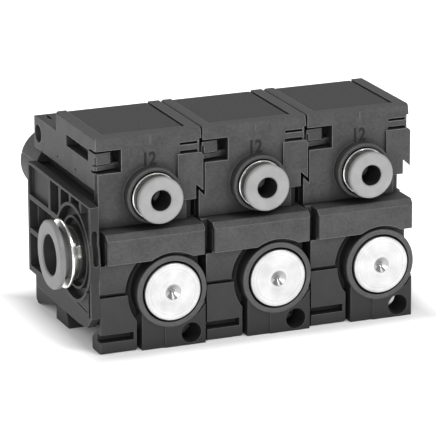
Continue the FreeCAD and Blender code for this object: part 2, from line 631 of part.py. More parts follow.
def skirt():
    """The front wall's lower part, with the lug on its left that the neighbour's plate catches."""
    foot = SHELF_TOP + LIFT
    return prism_y([(SKIRT_LEFT, foot), (SKIRT_RIGHT, foot), (SKIRT_RIGHT, HOOK_FOOT),
                    (HOOK_NECK, HOOK_FOOT), (HOOK_NECK, HOUSING_FOOT), (REBATE_RIGHT, HOUSING_FOOT),
                    (REBATE_RIGHT, LUG_VALLEY), (SKIRT_LEFT, LUG_TOP)], 0, SKIRT_THICK)


def pilot_housing():
    block = box(WALL_LEFT, WALL_RIGHT, 0, HOUSING_REAR, HOUSING_FOOT, HOUSING_SHOULDER)
    neck = box(NECK_LEFT, NECK_RIGHT, SKIRT_THICK / 2, HOUSING_REAR, BODY_TOP + LIFT, HOUSING_FOOT)
    neck = neck.cut(box(SKIRT_RIGHT, BIG, -1, NECK_FRONT, 0, HOUSING_FOOT))
    rear_boss = rod_y(OUTLET_X, OUTLET_Z, OUTLET_BOSS_R, OUTLET_SOCKET_START - OUTLET_END_WALL,
                      OUTLET_FACE)
    rear_boss = rear_boss.cut(box(-BIG, BIG, -BIG, BIG, -BIG, BODY_TOP + LIFT))
    housing = block.multiFuse([neck, skirt(), rear_boss, port_boss(), hook_plate(), label_slab()])
    groove_top = HEIGHT - SLAB_LIP_THICK - GROOVE_THICK
    grooves = [box(GROOVE_LEFT, WALL_RIGHT - GROOVE_END, -1, GROOVE_DEPTH, top - GROOVE_THICK, top)
               for top in (groove_top, groove_top - GROOVE_PITCH)]
    rebate = box(WALL_LEFT - 1, REBATE_RIGHT, -1, REBATE_DEPTH, HOUSING_FOOT - 1, HOUSING_SHOULDER)
    tick = box(PORT_X - LIFT, PORT_X + LIFT, -1, LIFT, HEIGHT - SLAB_LIP_THICK, HEIGHT - SLAB_EDGE)
    cuts = port_socket() + notch() + grooves + side_marks() + [rebate, tick, outlet_socket(1)]
    return housing.cut(Part.makeCompound(cuts)).removeSplitter()


# Push-in fittings, drawn along z with the rim's front face at zero

def fitting_collar(sizes):
    inner = sizes["tube"] + TUBE_PLAY + NECK_WALL + FIT
    deep = inner - COLLAR_LIP
    edge = LEAD_IN / 2
    end = -sizes["length"]
    return [(inner, -2 * LEAD_IN), (inner + LEAD_IN, 0.0), (sizes["rim"] - edge, 0.0),
            (sizes["rim"], -edge), (sizes["rim"], -sizes["rim_thick"]),
            (sizes["body"], -sizes["rim_thick"]), (sizes["body"], end), (deep, end),
            (deep, end + COLLAR_LIP), (inner, end + COLLAR_LIP)]


def fitting_release_ring(sizes):
    bore = sizes["tube"] + TUBE_PLAY
    neck = bore + NECK_WALL
    nose = NOSE_BACK - sizes["length"]
    gap = sizes["gap"]
    face = gap + sizes["thick"]
    flange = sizes["flange"]
    return [(bore, nose), (bore + LEAD_IN, nose), (neck, nose + NOSE_LENGTH), (neck, gap),
            (flange, gap), (flange, face - LEAD_IN), (flange - LEAD_IN, face),
            (bore + LEAD_IN, face), (bore, face - LEAD_IN)]


def fitting_grip_ring(sizes):
    """A thin steel washer with teeth that lean in towards the tube."""
    outer = sizes["tube"] + TUBE_PLAY + NECK_WALL
    inner = sizes["tube"] + TUBE_PLAY / 2
    back = NOSE_BACK - sizes["length"] - RELEASE_TRAVEL - 2.5 * TOOTH_THICK
    lean = 1.75 * TOOTH_THICK
    washer = turned([(inner, back - lean), (outer, back), (outer, back + TOOTH_THICK),
                     (inner, back - lean + TOOTH_THICK)])
    teeth = 6
    gaps = []
    for index in range(teeth):
        gap = box(0, outer - LEAD_IN, -TOOTH_THICK, TOOTH_THICK, back - 1, back + 1)
        gap.rotate(vec(0, 0, 0), Z_AXIS, 360.0 * index / teeth)
        gaps.append(gap)
    return washer.cut(Part.makeCompound(gaps))


def fitting_seal(sizes):
    half = NECK_WALL / 2
    ring = seal_ring(sizes["tube"] + TUBE_PLAY + half, half)
    ring.translate(vec(0, 0, COLLAR_LIP - sizes["length"] + half + 0.02))
    return ring


def fitting_pieces(sizes, rim_centre, outward):
    placement = FreeCAD.Placement(rim_centre, FreeCAD.Rotation(Z_AXIS, outward))
    pieces = {"collar": turned(fitting_collar(sizes)), "release_ring": turned(fitting_release_ring(sizes)),
              "grip_ring": fitting_grip_ring(sizes), "seal": fitting_seal(sizes)}
    for piece in pieces.values():
        piece.Placement = placement.multiply(piece.Placement)
    return pieces


# Gallery pieces and the left end

def nipple_profile():
    left = LEAD_IN - RIGHT_SOCKET_DEPTH
    right = SEAM + LEFT_SOCKET_DEPTH - LEAD_IN
    narrow = RIGHT_SOCKET_R - FIT
    wide = LEFT_SOCKET_R - FIT
    return [(GALLERY_R, left), (narrow, left), (narrow, SEAM / 2), (wide, SEAM / 2), (wide, right),
            (GALLERY_R, right)]


def gallery_nipple():
    return turned(nipple_profile(), vec(BODY_RIGHT, GALLERY_Y, GALLERY_Z), X_AXIS)


def blanking_plug():
    depth = RIGHT_SOCKET_DEPTH - LEAD_IN
    plug_r = RIGHT_SOCKET_R - FIT
    profile = [(0, -depth), (plug_r, -depth), (plug_r, -LIFT - LEAD_IN),
               (plug_r - LEAD_IN, -LIFT), (0, -LIFT)]
    return turned(profile, vec(BODY_RIGHT, GALLERY_Y, GALLERY_Z), X_AXIS)


def end_plate():
    """The ribbed plate on the row's left end, with a round well for the supply fitting."""
    left = BODY_LEFT - END_THICK
    rim = left - WELL_RIM
    half_way = left + END_THICK / 2
    low = END_FOOT + WELL_RIM
    step = END_REAR - END_STEP
    outline = [(END_FRONT, low + END_CORNER), (END_FRONT + END_CORNER, low),
               (END_FRONT + 3 * END_CORNER, END_FOOT), (step, low),
               (step, low + CELL_DEPTH), (END_REAR, low + CELL_DEPTH),
               (END_REAR, END_TOP - LEAD_IN), (step, END_TOP), (END_FRONT, END_TOP - LEAD_IN)]
    plate = prism_x(outline, left, BODY_LEFT)
    cells = [box(-BIG, BIG, y0, y1, z0, z1) for y0, y1, z0, z1 in cell_spans()[1:]]
    cells.append(box(-BIG, half_way, *cell_spans()[0]))
    plate = plate.cut(Part.makeCompound(cells))
    plate = plate.fuse(rod_x(GALLERY_Y, GALLERY_Z, WELL_R, rim, BODY_LEFT))
    well = rod_x(GALLERY_Y, GALLERY_Z, WELL_R - WELL_WALL, rim - 1, BODY_LEFT - WELL_FLOOR)
    inner = rod_x(GALLERY_Y, GALLERY_Z, INNER_RING_R, left, BODY_LEFT - WELL_FLOOR)
    plate = plate.cut(well).fuse(inner)
    bore = rod_x(GALLERY_Y, GALLERY_Z, SUPPLY_FITTING["body"] + FIT, rim - 1, BODY_LEFT + 1)
    mouth = rod_x(GALLERY_Y, GALLERY_Z, INNER_RING_R - INNER_RING_WALL, rim - 1, BODY_LEFT - WELL_FLOOR)
    slot = round_slot_y(half_way, BAND_FOOT, SHELF_TOP + BAND_EDGE, END_THICK / 3,
                        END_FRONT - 1, END_FRONT + 2 * RIB)
    groove_front = END_FRONT + RIB / 2
    groove = box(-BIG, half_way, groove_front, groove_front + RIB, FOOT_STRIP_TOP - RIB, PANEL_FOOT + RIB)
    line_end = GALLERY_Y + WELL_R - CELL_DEPTH
    line = prism_x([(line_end, FOOT_STRIP_TOP + RIB), (END_FRONT + 2 * RIB, FOOT_STRIP_TOP - LEAD_IN),
                    (END_FRONT + 2 * RIB, FOOT_STRIP_TOP), (line_end, FOOT_STRIP_TOP + RIB + LEAD_IN)],
                   rim - 1, left + LEAD_IN)
    return plate.cut(Part.makeCompound([bore, mouth, slot, groove, line])).removeSplitter()


def save(name, shape, station=0):
    placed = shape.copy()
    placed.translate(vec(station * PITCH - ROW_CENTRE, -DEPTH_CENTRE, 0))
    placed.exportStep("parts/" + name + ".step")


def main():
    os.makedirs("parts", exist_ok=True)
    station_pieces = {"valve_body": valve_body(), "pilot_housing": pilot_housing(),
                      "rail_latch": rail_latch(), "latch_spring": latch_spring(),
                      "plunger": plunger(), "gland_disc": gland_disc(),
                      "spool": spool(), "spool_seals": spool_seals(), "return_spring": return_spring()}
    pilot = fitting_pieces(PILOT_FITTING, vec(PORT_X, PILOT_RIM_Y, PORT_Z), Y_AXIS * -1)
    outlet = fitting_pieces(OUTLET_FITTING, vec(OUTLET_X, OUTLET_RIM_Y, OUTLET_Z), Y_AXIS)
    for name, piece in pilot.items():
        station_pieces["pilot_" + name] = piece
    for name, piece in outlet.items():
        station_pieces["outlet_" + name] = piece
    for station in range(STATIONS):
        for name, piece in station_pieces.items():
            save(name + "_" + str(station + 1), piece, station)
    for station in range(STATIONS - 1):
        save("gallery_nipple_" + str(station + 1), gallery_nipple(), station)
    save("blanking_plug", blanking_plug(), STATIONS - 1)
    save("end_plate", end_plate())
    supply = fitting_pieces(SUPPLY_FITTING, vec(SUPPLY_RIM_X, GALLERY_Y, GALLERY_Z), X_AXIS * -1)
    for name, piece in supply.items():
        save("supply_" + name, piece)


main()
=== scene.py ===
import bpy
import math
from mathutils import Euler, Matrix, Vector


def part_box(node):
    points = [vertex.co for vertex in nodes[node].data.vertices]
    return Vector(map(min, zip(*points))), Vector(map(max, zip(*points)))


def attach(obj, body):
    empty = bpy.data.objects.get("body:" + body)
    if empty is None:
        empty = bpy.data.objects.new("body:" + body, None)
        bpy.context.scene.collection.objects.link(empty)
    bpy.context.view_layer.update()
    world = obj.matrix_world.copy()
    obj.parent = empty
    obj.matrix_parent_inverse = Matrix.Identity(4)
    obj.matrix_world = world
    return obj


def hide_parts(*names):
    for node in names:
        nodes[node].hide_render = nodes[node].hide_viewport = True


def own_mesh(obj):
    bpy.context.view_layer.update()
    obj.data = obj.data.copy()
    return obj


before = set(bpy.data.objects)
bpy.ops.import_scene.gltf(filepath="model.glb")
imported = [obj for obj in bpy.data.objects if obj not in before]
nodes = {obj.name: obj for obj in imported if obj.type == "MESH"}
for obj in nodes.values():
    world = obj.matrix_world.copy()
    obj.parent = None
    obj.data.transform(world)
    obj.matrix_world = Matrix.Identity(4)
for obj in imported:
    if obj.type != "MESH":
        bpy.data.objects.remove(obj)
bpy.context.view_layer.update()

# Directional control valve, three stations. Lengths in the settings are millimetres.
row = dict(stations=3, pitch=22.5, centreX=33.5, centreY=14.7)
white = (1, 1, 1, 1)


def mm(value):
    return value / 1000


def perMetre(value):
    # a pattern's scale from its real size
    return 1000 / value


def atStation(x, y, z, station):
    # station measures, from the slab's left edge and the housing's front, to the row's frame
    return Vector((mm(x + row["pitch"] * station - row["centreX"]), mm(y - row["centreY"]), mm(z)))


def tone(hexCode):
    # sRGB hex to the linear colour that Blender's sockets take
    channels = [int(hexCode[i:i + 2], 16) / 255 for i in (1, 3, 5)]
    linear = [c / 12.92 if c <= 0.04045 else ((c + 0.055) / 1.055) ** 2.4 for c in channels]
    return (*linear, 1.0)


def addNode(tree, kind, settings=None, links=None):
    # a source is a socket, or a node whose first output is meant
    node = tree.nodes.new(kind)
    for key, value in (settings or {}).items():
        if isinstance(key, int) or key in node.inputs:
            node.inputs[key].default_value = value
        else:
            setattr(node, key, value)
    for key, source in (links or {}).items():
        tree.links.new(source.outputs[0] if hasattr(source, "outputs") else source, node.inputs[key])
    return node


def newMaterial(name, shader):
    material = bpy.data.materials.new(name)
    material.use_nodes = True
    tree = material.node_tree
    tree.nodes.clear()
    surface = addNode(tree, "ShaderNodeBsdfPrincipled", shader)
    addNode(tree, "ShaderNodeOutputMaterial", None, {"Surface": surface})
    where = addNode(tree, "ShaderNodeTexCoord")
    return material, tree, surface, where.outputs["Object"]


def fromAxis(tree, where, axis):
    # distance from a port's or plunger's axis, repeated at every station of the row
    place = addNode(tree, "ShaderNodeSeparateXYZ", None, {0: where})
    up = addNode(tree, "ShaderNodeMath", {"operation": "SUBTRACT", 1: mm(axis["z"])},
                 {0: place.outputs["Z"]})
    if "x" in axis:
        half = mm(row["pitch"] / 2)
        side = addNode(tree, "ShaderNodeMath", {"operation": "SUBTRACT", 1: mm(axis["x"] - row["centreX"])},
                       {0: place.outputs["X"]})
        side = addNode(tree, "ShaderNodeMath", {"operation": "WRAP", 1: half, 2: -half}, {0: side})
    else:
        side = addNode(tree, "ShaderNodeMath", {"operation": "SUBTRACT", 1: mm(axis["y"] - row["centreY"])},
                       {0: place.outputs["Y"]})
    offset = addNode(tree, "ShaderNodeCombineXYZ", None, {"X": side, "Y": up})
    return addNode(tree, "ShaderNodeVectorMath", {"operation": "LENGTH"}, {0: offset}).outputs["Value"]


def roundAxis(tree, where, look, reach, until):
    # 1 within reach of the look's axis, no further back than until
    inside = addNode(tree, "ShaderNodeMath", {"operation": "LESS_THAN", 1: mm(look[reach])},
                     {0: fromAxis(tree, where, look["axis"])})
    depth = addNode(tree, "ShaderNodeSeparateXYZ", None, {0: where}).outputs["Y"]
    inFront = addNode(tree, "ShaderNodeMath",
                      {"operation": "LESS_THAN", 1: mm(look[until] - row["centreY"])}, {0: depth})
    return addNode(tree, "ShaderNodeMath", {"operation": "MULTIPLY"}, {0: inside, 1: inFront})


def grimeInCorners(tree, colour, cornerShade):
    # painted shade: ambient occlusion darkens the colour in corners and narrow gaps
    freeSky = addNode(tree, "ShaderNodeAmbientOcclusion",
                      {"samples": cornerShadeSamples, "Distance": mm(cornerShade["reachMm"])})
    unshaded = addNode(tree, "ShaderNodeMapRange", {"From Min": cornerShade["shut"], "From Max": cornerShade["open"]},
                    {"Value": freeSky.outputs["AO"]})
    return addNode(tree, "ShaderNodeMix", {"data_type": "RGBA", 6: tone(cornerShade["tone"])},
                   {0: unshaded, 7: colour}).outputs[2]


pilotAxis = dict(x=11.0, z=30.7)
plungerAxis = dict(x=13.5, z=11.6)
outletAxis = dict(x=5.4, z=27.8)
supplyAxis = dict(y=5.2, z=18.9)
# painted shade in corners and narrow gaps, one setting for each kind of finish
nylonCornerShade = dict(tone="#141414", reachMm=3.5, shut=0.36, open=0.88)
ringCornerShade = dict(tone="#303030", reachMm=1.5, shut=0.15, open=0.7)
metalCornerShade = dict(tone="#22211f", reachMm=1.6, shut=0.15, open=0.5)
cornerShadeSamples = 8

# Glass-filled nylon, moulded in a spark-eroded tool: matt dark grey, a fine even grain, edges a
# little rounded and painted paler in patches, a painted highlight. The label field is grained more
# and the top above it drawn a little lighter. The body has painted shade that darkens it towards
# the foot, and the boss round each plunger is kept out of it and painted lighter, a painted
# highlight. The wells round the ports are darkened with painted shade.
nylonSurface = dict(ior=1.45, blotchDetail=4.0, grainDetail=3.0, grainShare=0.5, cloudFrom=0.36,
                    cloudTo=0.62, rubFrom=0.97, rubTo=0.80, patchFrom=0.3, patchTo=0.6, patchLeast=0.55,
                    edgeSamples=6, bump=0.6, bumpMm=0.02)
bodyNylonLook = dict(base="#444444", deep="#343434", worn="#868686", grainMm=0.5, blotchMm=4.0,
                     edgeMm=0.32, roughness=0.6, foot="#1f1f1f", footFrom=11.0, footTo=19.0, footRub=0.3,
                     boss="#4c4c4c", bossDeep="#3e3e3e", bossR=7.4, bossUntil=0.5, axis=plungerAxis)
housingNylonLook = dict(base="#424242", deep="#333333", worn="#909090", grainMm=0.5, blotchMm=4.0,
                        edgeMm=0.32, roughness=0.6, field="#2f2f2f", fieldSpeck="#414141",
                        fieldTop=42.75, fieldSlack=0.06, speckMm=0.35, speckDetail=1.0, speckFrom=0.4,
                        speckTo=0.65, rim="#464646", rimAbove=0.1, well="#1a1a1a", wellR=5.03,
                        wellUntil=12.0, axis=pilotAxis)
# painted shade: the latch gets a darker copy of the body nylon, as the low parts fall in shade
latchNylonLook = dict(base="#2b2b2b", deep="#232323", worn="#6c6c6c", grainMm=0.25, blotchMm=3.0,
                      edgeMm=0.2, roughness=0.58)
# painted shade: the end plate gets a darker copy of the body nylon, as its ribbed side falls in shade
endNylonLook = dict(base="#242424", deep="#1c1c1c", worn="#868686", grainMm=0.25, blotchMm=3.0,
                    edgeMm=0.2, roughness=0.6, well="#161616", wellR=7.2, wellUntil=30.0, axis=supplyAxis)


def nylonMaterial(name, look):
    nylon = nylonSurface
    material, tree, surface, where = newMaterial(name, {"Roughness": look["roughness"], "IOR": nylon["ior"]})
    blotch = addNode(tree, "ShaderNodeTexNoise",
                     {"Scale": perMetre(look["blotchMm"]), "Detail": nylon["blotchDetail"]},
                     {"Vector": where})
    fine = addNode(tree, "ShaderNodeTexNoise",
                   {"Scale": perMetre(look["grainMm"]), "Detail": nylon["grainDetail"]}, {"Vector": where})
    both = addNode(tree, "ShaderNodeMix", {0: nylon["grainShare"]}, {2: blotch, 3: fine})
    cloudy = addNode(tree, "ShaderNodeMapRange",
                     {"From Min": nylon["cloudFrom"], "From Max": nylon["cloudTo"]}, {"Value": both})
    colour = addNode(tree, "ShaderNodeMix",
                     {"data_type": "RGBA", 6: tone(look["base"]), 7: tone(look["deep"])},
                     {0: cloudy}).outputs[2]
    height = addNode(tree, "ShaderNodeSeparateXYZ", None, {0: where}).outputs["Z"]
    # painted shade: the body darkens towards the foot, where less light falls
    if "foot" in look:
        low = addNode(tree, "ShaderNodeMapRange",
                      {"From Min": mm(look["footTo"]), "From Max": mm(look["footFrom"])}, {"Value": height})
        colour = addNode(tree, "ShaderNodeMix", {"data_type": "RGBA", 7: tone(look["foot"])},
                         {0: low, 6: colour}).outputs[2]
    # painted highlight: the boss round each plunger is kept out of the painted foot shade and painted
    # lighter
    if "boss" in look:
        onBoss = roundAxis(tree, where, look, "bossR", "bossUntil")
        bossLit = addNode(tree, "ShaderNodeMix", {"data_type": "RGBA", 6: tone(look["boss"]),
                                                 7: tone(look["bossDeep"])}, {0: cloudy}).outputs[2]
        colour = addNode(tree, "ShaderNodeMix", {"data_type": "RGBA"},
                         {0: onBoss, 6: colour, 7: bossLit}).outputs[2]
    if "field" in look:
        onField = addNode(tree, "ShaderNodeMath",
                          {"operation": "COMPARE", 1: mm(look["fieldTop"]), 2: mm(look["fieldSlack"])},
                          {0: height})
        onRim = addNode(tree, "ShaderNodeMath",
                        {"operation": "GREATER_THAN", 1: mm(look["fieldTop"] + look["rimAbove"])},
                        {0: height})
        speck = addNode(tree, "ShaderNodeTexNoise",
                        {"Scale": perMetre(look["speckMm"]), "Detail": look["speckDetail"]},
                        {"Vector": where})
        specks = addNode(tree, "ShaderNodeMapRange",
                         {"From Min": look["speckFrom"], "From Max": look["speckTo"]}, {"Value": speck})
        field = addNode(tree, "ShaderNodeMix", {"data_type": "RGBA", 6: tone(look["field"]),
                                                7: tone(look["fieldSpeck"])}, {0: specks}).outputs[2]
        colour = addNode(tree, "ShaderNodeMix", {"data_type": "RGBA"},
                         {0: onField, 6: colour, 7: field}).outputs[2]
        colour = addNode(tree, "ShaderNodeMix", {"data_type": "RGBA", 7: tone(look["rim"])},
                         {0: onRim, 6: colour}).outputs[2]
    # painted shade: the wells round the ports are darkened
    if "well" in look:
        inWellShade = roundAxis(tree, where, look, "wellR", "wellUntil")
        colour = addNode(tree, "ShaderNodeMix", {"data_type": "RGBA", 7: tone(look["well"])},
                         {0: inWellShade, 6: colour}).outputs[2]
    # painted highlight: edges, where the bevelled normal turns from the true one, are painted paler in
    # patches
    bevel = addNode(tree, "ShaderNodeBevel", {"Radius": mm(look["edgeMm"]), "samples": nylon["edgeSamples"]})
    flat = addNode(tree, "ShaderNodeNewGeometry")
    agree = addNode(tree, "ShaderNodeVectorMath", {"operation": "DOT_PRODUCT"},
                    {0: bevel, 1: flat.outputs["True Normal"]})
    edgeLit = addNode(tree, "ShaderNodeMapRange", {"From Min": nylon["rubFrom"], "From Max": nylon["rubTo"]},
                     {"Value": agree.outputs["Value"]})
    uneven = addNode(tree, "ShaderNodeMapRange",
                     {"From Min": nylon["patchFrom"], "From Max": nylon["patchTo"],
                      "To Min": nylon["patchLeast"]}, {"Value": blotch})
    patchy = addNode(tree, "ShaderNodeMath", {"operation": "MULTIPLY"}, {0: edgeLit, 1: uneven})
    # the painted edge highlight fades towards the foot
    if "foot" in look:
        footHighlightFade = addNode(tree, "ShaderNodeMapRange",
                          {"From Min": mm(look["footFrom"]), "From Max": mm(look["footTo"]),
                           "To Min": look["footRub"]}, {"Value": height})
        patchy = addNode(tree, "ShaderNodeMath", {"operation": "MULTIPLY"}, {0: patchy, 1: footHighlightFade})
    colour = addNode(tree, "ShaderNodeMix", {"data_type": "RGBA", 7: tone(look["worn"])},
                     {0: patchy, 6: colour}).outputs[2]
    bump = addNode(tree, "ShaderNodeBump", {"Strength": nylon["bump"], "Distance": mm(nylon["bumpMm"])},
                   {"Height": fine, "Normal": bevel})
    # base colour with painted shade in its corners
    tree.links.new(grimeInCorners(tree, colour, nylonCornerShade), surface.inputs["Base Color"])
    tree.links.new(bump.outputs["Normal"], surface.inputs["Normal"])
    return material


# Acetal release rings, moulded and unpainted: smooth, slightly waxy light grey, with the bore darkened
# by painted shade.
acetalSurface = dict(ior=1.48, roughness=0.45, blotchMm=2.5, blotchDetail=3.0, cloudFrom=0.3, cloudTo=0.7,
                     edgeMm=0.15, edgeSamples=4)
pilotAcetalLook = dict(base="#909090", deep="#868686", bore="#202020", boreR=2.12, axis=pilotAxis)
outletAcetalLook = dict(base="#909090", deep="#868686", bore="#202020", boreR=3.12, axis=outletAxis)
supplyAcetalLook = dict(base="#767676", deep="#6d6d6d", bore="#2a2a2a", boreR=4.12, axis=supplyAxis)


def acetalMaterial(name, look):
    acetal = acetalSurface
    material, tree, surface, where = newMaterial(name, {"Roughness": acetal["roughness"],
                                                        "IOR": acetal["ior"]})
    blotch = addNode(tree, "ShaderNodeTexNoise",
                     {"Scale": perMetre(acetal["blotchMm"]), "Detail": acetal["blotchDetail"]},
                     {"Vector": where})
    cloudy = addNode(tree, "ShaderNodeMapRange",
                     {"From Min": acetal["cloudFrom"], "From Max": acetal["cloudTo"]}, {"Value": blotch})
    colour = addNode(tree, "ShaderNodeMix",
                     {"data_type": "RGBA", 6: tone(look["base"]), 7: tone(look["deep"])},
                     {0: cloudy}).outputs[2]
    # painted shade: the ring's bore, near the axis, is darkened
    inBoreShade = addNode(tree, "ShaderNodeMath", {"operation": "LESS_THAN", 1: mm(look["boreR"])},
                     {0: fromAxis(tree, where, look["axis"])})
    colour = addNode(tree, "ShaderNodeMix", {"data_type": "RGBA", 7: tone(look["bore"])},
                     {0: inBoreShade, 6: colour}).outputs[2]
    bevel = addNode(tree, "ShaderNodeBevel",
                    {"Radius": mm(acetal["edgeMm"]), "samples": acetal["edgeSamples"]})
    # base colour with painted shade in its corners
    tree.links.new(grimeInCorners(tree, colour, ringCornerShade), surface.inputs["Base Color"])
    tree.links.new(bevel.outputs["Normal"], surface.inputs["Normal"])
    return material


# Metals. Turned aluminium and nickel-plated brass show feed marks round the axis, drawn coarser than
# the real 0.1 mm feed so they show. The plunger's centre drilling keeps the darker, cleaner cut of the
# drill, and the plated collars are darkened inside their bores with painted shade. The springs are
# bright drawn wire and the grip rings blued strip, both with a fine mottle.
turnedSurface = dict(markDetail=2.0, cloudMm=3.0, cloudDetail=3.0, cloudShare=0.72, shadeFrom=0.35,
                     shadeTo=0.65, edgeSamples=4, bumpMm=0.01)
aluminiumLook = dict(base="#dedede", deep="#c8c8c8", markMm=0.35, roughness=0.5, edgeMm=0.12, strength=0.1,
                     axis=plungerAxis, inner="#a8a8a8", innerR=1.65, innerRoughness=0.2)
# the collars' inner tone is painted shade inside their bores
nickelLook = dict(base="#f2f1ef", deep="#e2e1de", markMm=0.4, roughness=0.22, edgeMm=0.1, strength=0.1,
                  inner="#2a2826", innerRoughness=0.6)
springSteelLook = dict(base="#b9babb", deep="#a3a4a6", markMm=0.3, roughness=0.28, edgeMm=0.05,
                       strength=0.05)
bluedSteelLook = dict(base="#4b4a4c", deep="#3a393b", markMm=0.3, roughness=0.4, edgeMm=0.05,
                      strength=0.05)


def turnedMetal(name, look):
    metal = turnedSurface
    material, tree, surface, where = newMaterial(name, {"Metallic": 1.0, "Roughness": look["roughness"]})
    turning = {"Scale": perMetre(look["markMm"]), "Detail": metal["markDetail"]}
    if "axis" in look:
        radius = fromAxis(tree, where, look["axis"])
        marks = addNode(tree, "ShaderNodeTexNoise", {"noise_dimensions": "1D", **turning}, {"W": radius})
    else:
        marks = addNode(tree, "ShaderNodeTexNoise", turning, {"Vector": where})
    cloud = addNode(tree, "ShaderNodeTexNoise",
                    {"Scale": perMetre(metal["cloudMm"]), "Detail": metal["cloudDetail"]}, {"Vector": where})
    mottle = addNode(tree, "ShaderNodeMix", {0: metal["cloudShare"]}, {2: marks, 3: cloud})
    shade = addNode(tree, "ShaderNodeMapRange",
                    {"From Min": metal["shadeFrom"], "From Max": metal["shadeTo"]}, {"Value": mottle})
    colour = addNode(tree, "ShaderNodeMix",
                     {"data_type": "RGBA", 6: tone(look["base"]), 7: tone(look["deep"])},
                     {0: shade}).outputs[2]
    # inside the inner radius: the drill's own darker cut on the plunger, painted shade inside the collars
    if "axis" in look:
        inside = addNode(tree, "ShaderNodeMath", {"operation": "LESS_THAN", 1: mm(look["innerR"])},
                         {0: radius})
        colour = addNode(tree, "ShaderNodeMix", {"data_type": "RGBA", 7: tone(look["inner"])},
                         {0: inside, 6: colour}).outputs[2]
        gloss = addNode(tree, "ShaderNodeMix", {2: look["roughness"], 3: look["innerRoughness"]},
                        {0: inside})
        tree.links.new(gloss.outputs[0], surface.inputs["Roughness"])
    bevel = addNode(tree, "ShaderNodeBevel", {"Radius": mm(look["edgeMm"]), "samples": metal["edgeSamples"]})
    bump = addNode(tree, "ShaderNodeBump", {"Strength": look["strength"], "Distance": mm(metal["bumpMm"])},
                   {"Height": marks, "Normal": bevel})
    # base colour with painted shade in its corners
    tree.links.new(grimeInCorners(tree, colour, metalCornerShade), surface.inputs["Base Color"])
    tree.links.new(bump.outputs["Normal"], surface.inputs["Normal"])
    return material


# Nitrile rubber seals: black, moulded, dull with a faint bloom.
rubberLook = dict(base="#1d1d1d", bloom="#303030", blotchMm=1.2, blotchDetail=3.0, bloomFrom=0.4,
                  bloomTo=0.7, roughness=0.7, ior=1.52)


def rubberMaterial(name, look):
    material, tree, surface, where = newMaterial(name, {"Roughness": look["roughness"], "IOR": look["ior"]})
    blotch = addNode(tree, "ShaderNodeTexNoise",
                     {"Scale": perMetre(look["blotchMm"]), "Detail": look["blotchDetail"]},
                     {"Vector": where})
    bloom = addNode(tree, "ShaderNodeMapRange", {"From Min": look["bloomFrom"], "From Max": look["bloomTo"]},
                    {"Value": blotch})
    colour = addNode(tree, "ShaderNodeMix",
                     {"data_type": "RGBA", 6: tone(look["base"]), 7: tone(look["bloom"])},
                     {0: bloom}).outputs[2]
    tree.links.new(colour, surface.inputs["Base Color"])
    return material


finishes = {
    "bodyNylon": nylonMaterial("bodyNylon", bodyNylonLook),
    "housingNylon": nylonMaterial("housingNylon", housingNylonLook),
    "latchNylon": nylonMaterial("latchNylon", latchNylonLook),
    "endNylon": nylonMaterial("endPlateNylon", endNylonLook),
    "pilotAcetal": acetalMaterial("pilotRingAcetal", pilotAcetalLook),
    "outletAcetal": acetalMaterial("outletRingAcetal", outletAcetalLook),
    "supplyAcetal": acetalMaterial("supplyRingAcetal", supplyAcetalLook),
    "aluminium": turnedMetal("turnedAluminium", aluminiumLook),
    "pilotNickel": turnedMetal("pilotNickelledBrass", dict(nickelLook, axis=pilotAxis, innerR=3.02)),
    "outletNickel": turnedMetal("outletNickelledBrass", dict(nickelLook, axis=outletAxis, innerR=4.02)),
    "supplyNickel": turnedMetal("supplyNickelledBrass", dict(nickelLook, axis=supplyAxis, innerR=5.02)),
    "springSteel": turnedMetal("springSteel", springSteelLook),
    "bluedSteel": turnedMetal("bluedSteelStrip", bluedSteelLook),
    "rubber": rubberMaterial("nitrileRubber", rubberLook),
}

nodeFinishes = {
    "valve_body": "bodyNylon", "pilot_housing": "housingNylon", "rail_latch": "latchNylon",
    "end_plate": "endNylon", "gallery_nipple": "bodyNylon", "blanking_plug": "bodyNylon",
    "gland_disc": "latchNylon", "plunger": "aluminium", "spool": "aluminium", "spool_seals": "rubber",
    "return_spring": "springSteel", "latch_spring": "springSteel", "pilot_release_ring": "pilotAcetal",
    "outlet_release_ring": "outletAcetal", "supply_release_ring": "supplyAcetal",
    "pilot_collar": "pilotNickel", "outlet_collar": "outletNickel", "supply_collar": "supplyNickel",
    "grip_ring": "bluedSteel", "seal": "rubber",
}


def finishOf(nodeName):
    plain = nodeName.rstrip("0123456789").rstrip("_")
    if plain in nodeFinishes:
        return finishes[nodeFinishes[plain]]
    return finishes[nodeFinishes[plain.split("_", 1)[1]]]


for nodeName, node in nodes.items():
    node.data.materials.clear()
    node.data.materials.append(finishOf(nodeName))
print("materials on", len(nodes), "nodes")

# Port numbers, sunk in the real moulding: drawn as a thin dark inlay on the front wall
portNumber = dict(words="12", left=9.7, foot=36.35, height=2.8, width=2.55, proud=0.03, thicker=0.11,
                  capShare=0.7, curveSteps=4, weldMm=0.001, tone="#101010", toneWorn="#1c1c1c", dustMm=0.3,
                  dustDetail=2.0, dustFrom=0.35, dustTo=0.7, roughness=0.75, ior=1.45)


def sunkMaterial(name, look):
    # the floor of the sunk figures, nylon in shade and a little dusty
    material, tree, surface, where = newMaterial(name, {"Roughness": look["roughness"], "IOR": look["ior"]})
    dust = addNode(tree, "ShaderNodeTexNoise",
                   {"Scale": perMetre(look["dustMm"]), "Detail": look["dustDetail"]}, {"Vector": where})
    dusty = addNode(tree, "ShaderNodeMapRange", {"From Min": look["dustFrom"], "From Max": look["dustTo"]},
                    {"Value": dust})
    shade = addNode(tree, "ShaderNodeMix", {"data_type": "RGBA", 6: tone(look["tone"]),
                                            7: tone(look["toneWorn"])}, {0: dusty})
    tree.links.new(shade.outputs[2], surface.inputs["Base Color"])
    return material


